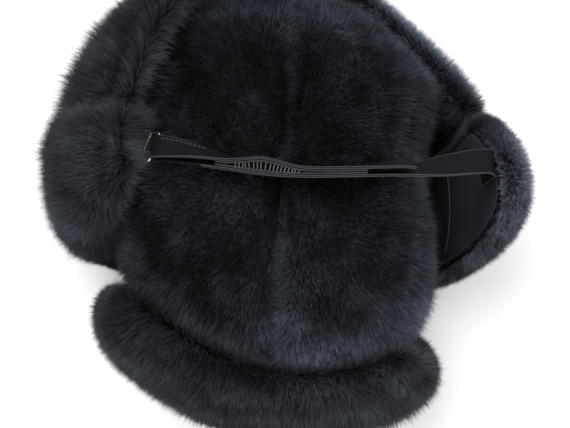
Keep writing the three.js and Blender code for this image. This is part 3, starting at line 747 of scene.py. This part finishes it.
def resample(rings, step):
    """More sections at an even pitch, on smooth curves through those of the CAD."""
    middles = rings.mean(1)
    gone = np.concatenate([[0], np.cumsum(np.linalg.norm(np.diff(middles, axis=0), axis=1))])
    wanted = np.linspace(0, gone[-1], int(gone[-1] / step) + 1)
    i = np.clip(np.searchsorted(gone, wanted, side="right") - 1, 0, len(rings) - 2)
    t = ((wanted - gone[i]) / (gone[i + 1] - gone[i]))[:, None, None]
    before, low, high, after = (rings[np.clip(i + k, 0, len(rings) - 1)] for k in (-1, 0, 1, 2))
    curve = 0.5 * (
        2 * low + (high - before) * t + (2 * before - 5 * low + 4 * high - after) * t**2
        + (3 * low - before - 3 * high + after) * t**3
    )
    return curve, wanted


def halves(quads):
    """Two triangles for each quad."""
    return np.concatenate([quads[:, [0, 1, 2]], quads[:, [0, 2, 3]]])


def even_edge(middles):
    return np.ones(len(middles))


def edge_shaded_under_upper_layer(middles):
    """The strap's painted edge highlight, dimmed by painted shade on the lower layer near the ring,
    where it lies under the upper layer.
    """
    along = middles[:, 0]
    lower_layer = np.arange(len(along)) < np.argmin(along)
    return np.where(lower_layer & (along < DARK_EDGE_END), DARK_EDGE, 1.0)


def ribbed_sections(rings, across, rib):
    """The band's sections: its face and its back in ribs, and a point halfway up either edge."""
    a, b, c, d = (rings[:, k] for k in range(4))
    share = ((across + 1) / 2)[None, :, None]
    off = unit(a - d)[:, None, :] * rib[None, :, None]
    face = a[:, None] * (1 - share) + b[:, None] * share + off
    back = d[:, None] * (1 - share) + c[:, None] * share - off
    near, far = ((a + d) / 2)[:, None], ((b + c) / 2)[:, None]
    return np.concatenate([face, far, back[:, ::-1], near], 1)


def band_faces(section_count, count, ribs):
    """The band's triangles: walls from each section of that many points to the next, and ends."""
    starts = np.arange(section_count - 1)[:, None] * count
    here = starts + np.arange(count)[None]
    there = starts + np.roll(np.arange(count), -1)[None]
    walls = np.stack([here, there, there + count, here + count], -1).reshape(-1, 4)
    low = np.arange(2 * ribs)
    cap = np.stack([low, low + 1, count - 3 - low, count - 2 - low], 1)
    corners = np.array([[0, count - 2, count - 1], [2 * ribs + 1, 2 * ribs + 2, 2 * ribs]])
    last = (section_count - 1) * count
    ends = [halves(cap[:, ::-1]), halves(cap + last), corners, corners[:, ::-1] + last]
    return np.concatenate([halves(walls), *ends])


def weave_band(node, name, ribs, relief, edge_highlight_strength=even_edge):
    """A ribbed band of webbing over the CAD band, and its sections."""
    rings, gone = resample(band_rings(node), SECTION_PITCH)
    across = np.linspace(-1, 1, 2 * ribs + 1)
    rib = relief * (0.5 - 0.5 * np.cos(np.linspace(0, math.tau * ribs, 2 * ribs + 1)))
    sections = ribbed_sections(rings, across, rib - relief)
    count = sections.shape[1]
    faces = band_faces(len(sections), count, ribs)
    band = new_mesh(name, sections.reshape(-1, 3), faces, WEBBING)
    rim = np.abs(across) > 0.999
    give_values(
        band,
        along=np.repeat(gone, count),
        across=np.tile(np.concatenate([across, [1], across[::-1], [-1]]), len(sections)),
        # The painted highlight on the band's edges.
        selvedge=np.outer(edge_highlight_strength(rings.mean(1)), np.concatenate([rim, [0], rim, [0]])),
    )
    dress(band, node)
    return rings


strap_rings = weave_band("strap", "strap_webbing", 11, 0.12 * MM, edge_shaded_under_upper_layer)
weave_band("ring_tab", "ring_tab_webbing", 9, 0.1 * MM)


# Patches


PILE_COUNT = 5000
PILE_PITCH = 1.2 * MM
PILE_HEIGHT = 0.55 * MM
PILE_HALF_WIDTH = 0.12 * MM
INTO_ROWS = 0.15


def bristle(node, name, seed):
    """The fastening's short pile, in rows over the CAD patch."""
    rng = np.random.default_rng(seed)
    surface = SoftSurface(node, relax=0, levels=0)
    points, normals = scatter(surface, np.ones(len(surface.triangles)), PILE_COUNT, rng)
    in_rows = np.round(points / PILE_PITCH) * PILE_PITCH
    points = in_rows * INTO_ROWS + points * (1 - INTO_ROWS)
    lean = rng.normal(size=points.shape) * PILE_HEIGHT * 0.5
    tip = points + normals * PILE_HEIGHT + lean
    pile = strand_mesh(name, points, tip, PILE_HALF_WIDTH, FASTENING, rng)
    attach(pile, BODY)
    return pile


for patch, seed in (("loop_patch", 71), ("hook_patch", 73)):
    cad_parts[patch].data.materials.clear()
    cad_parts[patch].data.materials.append(FASTENING)
    bristle(patch, f"{patch}_pile", seed)


# Stitches


BARREL = [(-1.0, 0.2), (-0.6, 0.85), (0.0, 1.0), (0.6, 0.85), (1.0, 0.2)]
BARREL_SIDES = 6

# A direction that no thread runs along, to find what lies across one.
NO_THREAD_RUNS = [0.31, 0.17, 0.94]

STITCH_ROW = (-76 * MM, -48 * MM)
STITCH_PITCH = 3
STITCH_SHARE = 0.84
STITCH_LIFT = 0.15 * MM
STITCH_HALF = 1.1 * MM
STITCH_RADIUS = 0.24 * MM
RIB_ROW = (-30 * MM, 8 * MM)
RIB_PITCH = 2
RIB_DROP = 0.7 * MM
RIB_SHARE = 0.3
RIB_RADIUS = 0.3 * MM


def barrels(name, middles, halves_along, radius, material):
    """Short threads: a barrel at each middle, which reaches by half its length either way."""
    side = unit(np.cross(unit(halves_along), NO_THREAD_RUNS))
    up = np.cross(unit(halves_along), side)
    turn = (np.arange(BARREL_SIDES) * math.tau / BARREL_SIDES)[None, :, None]
    round_it = side[:, None] * np.cos(turn) + up[:, None] * np.sin(turn)
    rows = [
        middles[:, None] + halves_along[:, None] * share + round_it * (radius * swell)
        for share, swell in BARREL
    ]
    points = np.stack(rows, 1)
    first = np.arange(len(middles))[:, None] * points.shape[1] * BARREL_SIDES
    corner = np.arange((len(BARREL) - 1) * BARREL_SIDES)
    across = corner - corner % BARREL_SIDES + (corner + 1) % BARREL_SIDES
    walls = np.stack([corner, across, across + BARREL_SIDES, corner + BARREL_SIDES], 1)
    fan = np.array([[0, k + 1, k] for k in range(1, BARREL_SIDES - 1)])
    caps = np.concatenate([fan, fan[:, ::-1] + (len(BARREL) - 1) * BARREL_SIDES])
    shape = np.concatenate([halves(walls), caps])
    faces = (first[:, :, None] + shape[None]).reshape(-1, 3)
    made = new_mesh(name, points.reshape(-1, 3), faces, material)
    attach(made, BODY)
    return made


def strap_layers():
    """The strap's sections on their way out over the crown, and on their way back."""
    turn = int(np.argmin(strap_rings.mean(1)[:, 0]))
    return strap_rings[:turn], strap_rings[turn:]


def within(places, row):
    return (places[:, 0] > row[0]) & (places[:, 0] < row[1])


def strap_stitches():
    """The row that holds the strap's end near the ring, along the back edge of its upper face."""
    _, back = strap_layers()
    upper = np.argsort(back[0, :, 2])[-2:]
    front, rear = upper[np.argsort(back[0, upper, 1])]
    across = back[:, rear] - back[:, front]
    ahead = np.gradient(back.mean(1), axis=0)
    line = back[:, front] + across * STITCH_SHARE
    middles = line + unit(np.cross(ahead, across)) * STITCH_LIFT
    near = np.flatnonzero(within(line, STITCH_ROW))[::STITCH_PITCH]
    barrels("strap_stitches", middles[near], unit(ahead[near]) * STITCH_HALF, STITCH_RADIUS,
            THREAD)


def top_line(layer):
    """The middle of each section's two highest corners."""
    return np.array([sorted(ring, key=lambda corner: corner[2])[-2:] for ring in layer]).mean(1)


def lens_ribs():
    """The fastening's ribs where the two layers of the strap stand apart, drawn in the light
    stitching colour: painted light on the fastening, which is dark elsewhere.
    """
    out, back = (top_line(layer) for layer in strap_layers())
    near = out[within(out, RIB_ROW)][::RIB_PITCH]
    facing = np.array([back[np.argmin(np.linalg.norm(back - place, axis=1))] for place in near])
    gap = facing - near
    middles = near + gap / 2 - np.array([0, 0, RIB_DROP])
    # Painted light: these ribs take the light thread colour, not the dark fastening's.
    barrels("lens_ribs", middles, gap * RIB_SHARE, RIB_RADIUS, THREAD)


strap_stitches()
lens_ribs()


# Floor, light and camera


def pale_floor():
    material, tree, shader = new_material("pale floor", Roughness=0.9, Specular_IOR_Level=0.1)
    grain = place_group(tree, CLOTH_GRAIN, {"Size": 0.05, "Roughness": 0.5})
    white, cream = (0.93, 0.93, 0.935, 1), (0.9, 0.9, 0.905, 1)
    tree.links.new(blend_colours(tree, grain["Height"], white, cream), shader["Base Color"])
    half = 3.0
    corners = np.array([[-half, -half, 0], [half, -half, 0], [half, half, 0], [-half, half, 0]])
    floor = new_mesh("floor", corners, np.array([[0, 1, 2, 3]]), material, smooth=False)


def soft_light():
    world = bpy.data.worlds.new("studio")
    bpy.context.scene.world = world
    world.use_nodes = True
    world.node_tree.nodes["Background"].inputs["Color"].default_value = (1.0, 1.0, 1.0, 1)
    world.node_tree.nodes["Background"].inputs["Strength"].default_value = 0.75
    for name, place, size, power in (
        ("key", (-0.7, 0.5, 1.5), 1.2, 22),
        ("fill", (1.1, -0.9, 0.6), 1.0, 16),
    ):
        lamp = bpy.data.lights.new(name, "AREA")
        lamp.size, lamp.energy = size, power
        holder = bpy.data.objects.new(name, lamp)
        holder.location = place
        holder.rotation_euler = (-Vector(place)).to_track_quat("-Z", "Y").to_euler()
        bpy.context.scene.collection.objects.link(holder)


def photo_camera():
    """The photograph's view: from above, a little in front, turned a few degrees."""
    azimuth, elevation, distance = math.radians(-4.3), math.radians(76.0), 0.438
    target = Vector((0.0, -0.022, 0.070))
    back = Vector((
        -math.sin(azimuth) * math.cos(elevation),
        -math.cos(azimuth) * math.cos(elevation),
        math.sin(elevation),
    ))
    lens = bpy.data.cameras.new("camera")
    lens.sensor_width, lens.lens, lens.clip_start = 36.0, 40.0, 0.01
    camera = bpy.data.objects.new("camera", lens)
    camera.location = target + back * distance
    camera.rotation_euler = (-back).to_track_quat("-Z", "Y").to_euler()
    bpy.context.scene.collection.objects.link(camera)
    bpy.context.scene.camera = camera


pale_floor()
soft_light()
photo_camera()
bpy.context.scene.view_settings.view_transform = "Standard"
